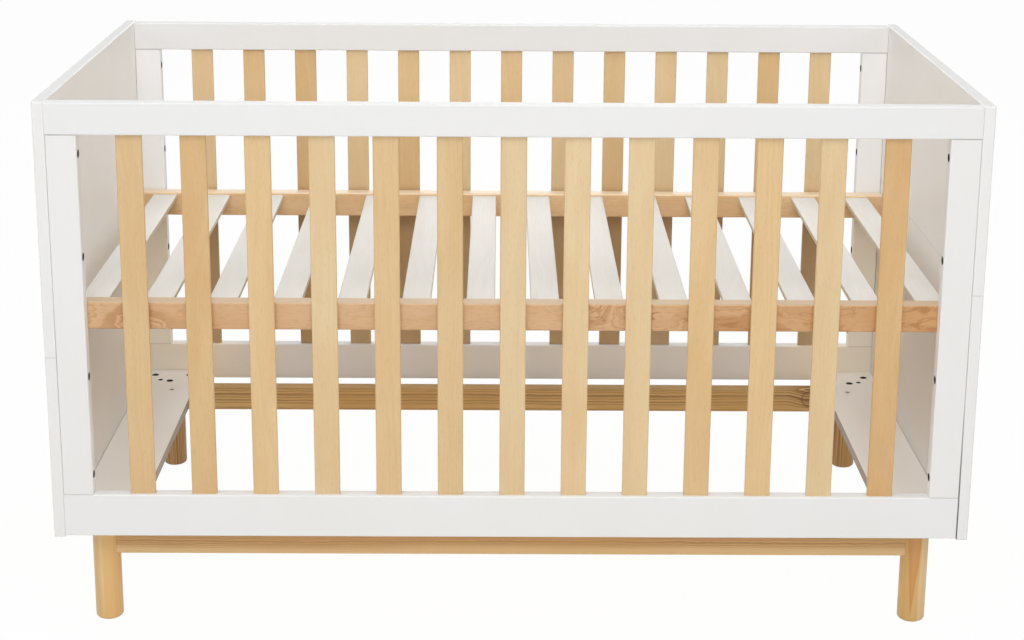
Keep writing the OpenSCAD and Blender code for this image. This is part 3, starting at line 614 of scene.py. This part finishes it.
# Cross slats stained white: the grain still shows as grey lines
stained = wood("white_stained_slats", "#D5D3CE", "#C7C2BA", "#CFCBC4", ring=5.0,
               ring_show=0.20, grain=ALONG_Y, fibre_show=0.04, tone=0.03, wander=8.0, seed=7.0,
               shade=creamy_edges, coat=0.05, gloss=0.5, **CROSS_GRID)
# Raw beech of the dowels: dull, with close rings
raw_dowel = wood("raw_beech_dowel", "#DDBF92", "#BC9360", "#D2AE7C", ring=2.0, ring_show=0.5,
                 grain=ALONG_X, centre=(0, 0, 0), step=(0.02, 0.02, 0.02), coat=0.0, gloss=0.7)

# Blackened steel has a soft grey glint, fresh zinc a bright one, and brass a yellow one
bolt_steel = plated("blackened_steel_bolts", "#3C3A37", "#2E2C2A", 0.45)
zinc = plated("bright_zinc_plated_steel", "#C4C6C8", "#ADB0B2", 0.32)
brass = plated("plain_brass", "#D9B266", "#C79C50", 0.34)

FINISH = [
    (board_white, ["head_board_lower", "head_board_upper",
                   "foot_board_lower", "foot_board_upper"]),
    (bottom_white, ["head_floor_board", "foot_floor_board"]),
    (rail_white, ["front_top_rail", "rear_top_rail"]),
    (low_rail_white, ["front_bottom_rail", "rear_bottom_rail"]),
    (stile_white, ["front_foot_stile", "front_head_stile"]),
    (rear_stile_white_lit, ["rear_foot_stile", "rear_head_stile"]),
    (pale_leg_pine, ["front_foot_leg"]),
    (flame_leg_pine, ["front_head_leg"]),
    (dark_leg_pine, ["rear_foot_leg", "rear_head_leg"]),
    (front_rail_pine, ["front_leg_rail"]),
    (rear_rail_pine, ["rear_leg_rail"]),
    (front_base_wood, ["front_base_rail"]),
    (rear_base_wood, ["rear_base_rail"]),
    (stained, ["base_slats"]),
    (raw_dowel, ["dowels"]),
    (bolt_steel, ["side_bolts", "short_bolts"]),
    (zinc, ["base_brackets", "leg_plates", "wood_screws"]),
    (brass, ["lower_inserts", "head_upper_inserts", "foot_upper_inserts", "base_inserts"]),
]
# Tone of each side slat from the foot end to the head end: pale, golden or warm
SLAT_TONES = {"front": "gwgpggpppggpw", "rear": "pgwpgpgpgppwp"}


def dress(name, material):
    """A CAD piece takes one material all over."""
    data = nodes[name].data
    data.materials.clear()
    data.materials.append(material)


for material, names in FINISH:
    for name in names:
        dress(name, material)
for side, tones in SLAT_TONES.items():
    for i, tone in enumerate(tones, 1):
        dress(f"{side}_slat_{i}", beech[tone])


# Threaded bolts

STEPS = 24              # steps round a bolt
SHANK = 3.0 * MM        # radius over the thread's crests
CORE = 2.45 * MM        # radius at the thread's roots
PITCH = 1.0 * MM
HEAD, HEAD_HIGH = 5.0 * MM, 4.0 * MM
BEVEL = 0.5 * MM
SOCKET, SOCKET_DEEP = 2.0 * MM, 2.0 * MM    # half the size across flats, and its depth


def open_profile(shape, points):
    """Edges through points given as (radius, height), and their vertices."""
    verts = [bmesh.ops.create_vert(shape, co=(r, 0.0, z))["vert"][0] for r, z in points]
    edges = []
    for pair in zip(verts, verts[1:]):
        edges += bmesh.ops.contextual_create(shape, geom=pair)["edges"]
    return verts, edges


def cap_bolt(length, threaded):
    """Cap bolt with a six-sided socket: head below z = 0, shank up, thread at its end."""
    shape = bmesh.new()
    plain = length - threaded
    corner = SOCKET / cos(pi / 6)
    verts, edges = open_profile(shape, [
        (0.0, length), (CORE - BEVEL, length), (CORE, length - BEVEL), (CORE, plain + BEVEL),
        (SHANK, plain), (SHANK, 0.0), (HEAD, 0.0), (HEAD, BEVEL - HEAD_HIGH),
        (HEAD - BEVEL, -HEAD_HIGH), (corner, -HEAD_HIGH), (corner, SOCKET_DEEP - HEAD_HIGH),
        (0.0, SOCKET_DEEP - HEAD_HIGH)])
    bmesh.ops.spin(shape, geom=verts + edges, cent=(0, 0, 0), axis=(0, 0, 1), dvec=(0, 0, 0),
                   angle=tau, steps=STEPS, use_merge=True)
    bmesh.ops.remove_doubles(shape, verts=shape.verts, dist=0.01 * MM)
    # The socket's round rings become hexagons
    for vert in shape.verts:
        at = vert.co
        if at.z < -HEAD_HIGH / 3 and 0.5 * MM < at.to_2d().length < corner + 0.1 * MM:
            turn = atan2(at.y, at.x) % (pi / 3) - pi / 6
            at.xy *= SOCKET / cos(turn) / at.to_2d().length
    # One ridge winds round the core
    turns = round(threaded / PITCH) - 2
    low = plain + PITCH
    verts, edges = open_profile(shape, [
        (CORE - 0.05 * MM, low), (SHANK - 0.03 * MM, low + 0.45 * PITCH),
        (CORE - 0.05 * MM, low + 0.9 * PITCH)])
    edges += bmesh.ops.contextual_create(shape, geom=[verts[2], verts[0]])["edges"]
    bmesh.ops.spin(shape, geom=verts + edges, cent=(0, 0, 0), axis=(0, 0, 1),
                   dvec=(0, 0, PITCH / STEPS), angle=tau * turns, steps=STEPS * turns)
    ends = [edge for edge in shape.edges if edge.is_boundary]
    bmesh.ops.holes_fill(shape, edges=ends, sides=3)
    bmesh.ops.recalc_face_normals(shape, faces=shape.faces)
    return shape


def bolts(name, places, length, threaded, node):
    """All bolts of one length as one piece: (place, direction of the shank) of each."""
    mesh = bpy.data.meshes.new(name)
    one = cap_bolt(length, threaded)
    one.to_mesh(mesh)
    one.free()
    row = bmesh.new()
    for place, shank in places:
        done = len(row.verts)
        row.from_mesh(mesh)
        turn = Vector(shank).to_track_quat("Z", "Y").to_matrix().to_4x4()
        bmesh.ops.transform(row, matrix=Matrix.Translation(place) @ turn,
                            verts=list(row.verts)[done:])
    row.to_mesh(mesh)
    row.free()
    mesh.materials.append(bolt_steel)
    piece = bpy.data.objects.new(name, mesh)
    scene.collection.objects.link(piece)
    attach(piece, "bed_frame")
    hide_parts(node)


# The middle of each head's underside: through the stiles' edges into the end boards, up through
# the base brackets, and down through the bottom boards
SIDE_HEAD_X = 0.6707
BRACKET_HEAD_X, BRACKET_HEAD_Z = 0.6938, 0.4975
BOTTOM_HEAD_Z = 0.174
QUARTERS = [(x, y) for x in (-1, 1) for y in (-1, 1)]
bolts("threaded_side_bolts", [
    ((x * SIDE_HEAD_X, y * SIDE_Y, height), (x, 0, 0))
    for x, y in QUARTERS for height in SIDE_BOLTS],
    length=49.0 * MM, threaded=28.0 * MM, node="side_bolts")
bolts("threaded_short_bolts", [
    ((x * BRACKET_HEAD_X, y * BASE_Y, BRACKET_HEAD_Z), (0, 0, 1)) for x, y in QUARTERS] + [
    ((x * across, y * inward, BOTTOM_HEAD_Z), (0, 0, -1))
    for x, y in QUARTERS for across, inward in BOTTOM_BOLTS],
    length=14.0 * MM, threaded=11.0 * MM, node="short_bolts")


# Floor, light, camera

def unseen_white(tree, seen, share, rest):
    """White for the camera, mirrors and glass, and the plain finish for all other light."""
    path = add(tree, "LightPath").outputs
    see = add(tree, "Math", {0: path["Is Camera Ray"], 1: path["Is Glossy Ray"]},
              operation="MAXIMUM").outputs[0]
    see = add(tree, "Math", {0: see, 1: path["Is Transmission Ray"]}, operation="MAXIMUM")
    see = add(tree, "Math", {0: see.outputs[0], 1: share}, operation="MULTIPLY").outputs[0]
    return add(tree, "MixShader", {0: see, 1: rest.outputs[0], 2: seen.outputs[0]})


FLOOR_WHITE = 0.98      # share of plain white that the camera sees; the rest keeps the shadow
FLOOR_HALF = 9.0        # half of the floor's side
ROOM_LIGHT = 0.03       # strength of the light from all round

floor_white, tree = start("plain_white_floor")
glow = add(tree, "Emission", {"Color": linear("#FFFFFF"), "Strength": 1.0})
# Next to the bed the floor is neutral, and below it warm with the light that the wood sheds
place = add(tree, "TexCoord").outputs["Object"]
place = add(tree, "VectorMath", {0: place, 1: (1.0, 1.8, 0.0)}, operation="MULTIPLY").outputs[0]
far = add(tree, "VectorMath", {0: place}, operation="LENGTH").outputs["Value"]
far = add(tree, "MapRange", {"Value": far, "From Min": 0.6, "From Max": 1.0}).outputs[0]
sheen = add(tree, "Mix", {"Factor": far, 6: linear("#F3CB92"), 7: linear("#E9E7E3")},
            data_type="RGBA").outputs[2]
matt = add(tree, "BsdfDiffuse", {"Color": sheen})
add(tree, "OutputMaterial", {"Surface": unseen_white(tree, glow, FLOOR_WHITE, matt).outputs[0]})
shape = bmesh.new()
bmesh.ops.create_grid(shape, x_segments=1, y_segments=1, size=FLOOR_HALF)
floor_mesh = bpy.data.meshes.new("floor")
shape.to_mesh(floor_mesh)
shape.free()
floor = bpy.data.objects.new("floor", floor_mesh)
scene.collection.objects.link(floor)
floor_mesh.materials.append(floor_white)

world = bpy.data.worlds.new("white_studio")
scene.world = world
world.use_nodes = True
tree = world.node_tree
tree.nodes.clear()
seen = add(tree, "Background", {"Color": linear("#FFFFFF"), "Strength": 1.0})
soft = add(tree, "Background", {"Color": linear("#FFFFFF"), "Strength": ROOM_LIGHT})
add(tree, "OutputWorld", {"Surface": unseen_white(tree, seen, 1.0, soft).outputs[0]})


def lamp(name, place, aim, size, power):
    """Square white soft box at a place, turned to its aim: size in metres, power in watts."""
    data = bpy.data.lights.new(name, "AREA")
    data.size = size
    data.energy = power
    box = bpy.data.objects.new(name, data)
    box.location = place
    box.rotation_euler = (Vector(aim) - Vector(place)).to_track_quat("-Z", "Y").to_euler()
    scene.collection.objects.link(box)


MIDDLE = (0.0, 0.0, 0.5)        # of the bed
lamp("key_soft_box", (-0.2, -3.1, 3.9), MIDDLE, size=2.6, power=80.0)
lamp("top_soft_box", (0.0, 0.3, 3.6), (0.0, 0.0, 0.4), size=3.0, power=82.0)
lamp("rear_soft_box", (0.0, 4.2, 1.2), MIDDLE, size=2.0, power=17.0)
lamp("front_soft_box", (0.0, -4.2, 1.4), MIDDLE, size=2.0, power=35.0)
for side in (-1, 1):
    lamp(f"side_soft_box_{side}", (side * 3.0, -1.6, 2.2), MIDDLE, size=2.0, power=28.0)

# The camera, as solved from the photograph
PICTURE = (1024, 640)
FOCAL = 1945.2          # pixels
CENTRE_ROW = 195.3      # picture row on the lens's axis
SENSOR = 36.0           # mm
EYE = (-0.0219, -3.2503, 1.4490)
yaw, pitch, roll = radians(0.382), radians(-14.20), radians(0.37)
forward = Vector((sin(yaw) * cos(pitch), cos(yaw) * cos(pitch), sin(pitch)))
right = Vector((cos(yaw), -sin(yaw), 0.0))
up = right.cross(forward)
side_axis = right * cos(roll) + up * sin(roll)
up_axis = -right * sin(roll) + up * cos(roll)
view = bpy.data.cameras.new("camera")
view.sensor_fit = "HORIZONTAL"
view.sensor_width = SENSOR
view.lens = SENSOR * FOCAL / PICTURE[0]
view.shift_y = (CENTRE_ROW - PICTURE[1] / 2) / PICTURE[0]
view.clip_start, view.clip_end = 0.05, 60.0
camera = bpy.data.objects.new("camera", view)
turn = Matrix((side_axis, up_axis, -forward)).transposed().to_4x4()
camera.matrix_world = Matrix.Translation(EYE) @ turn
scene.collection.objects.link(camera)
scene.camera = camera
scene.view_settings.view_transform = "Standard"
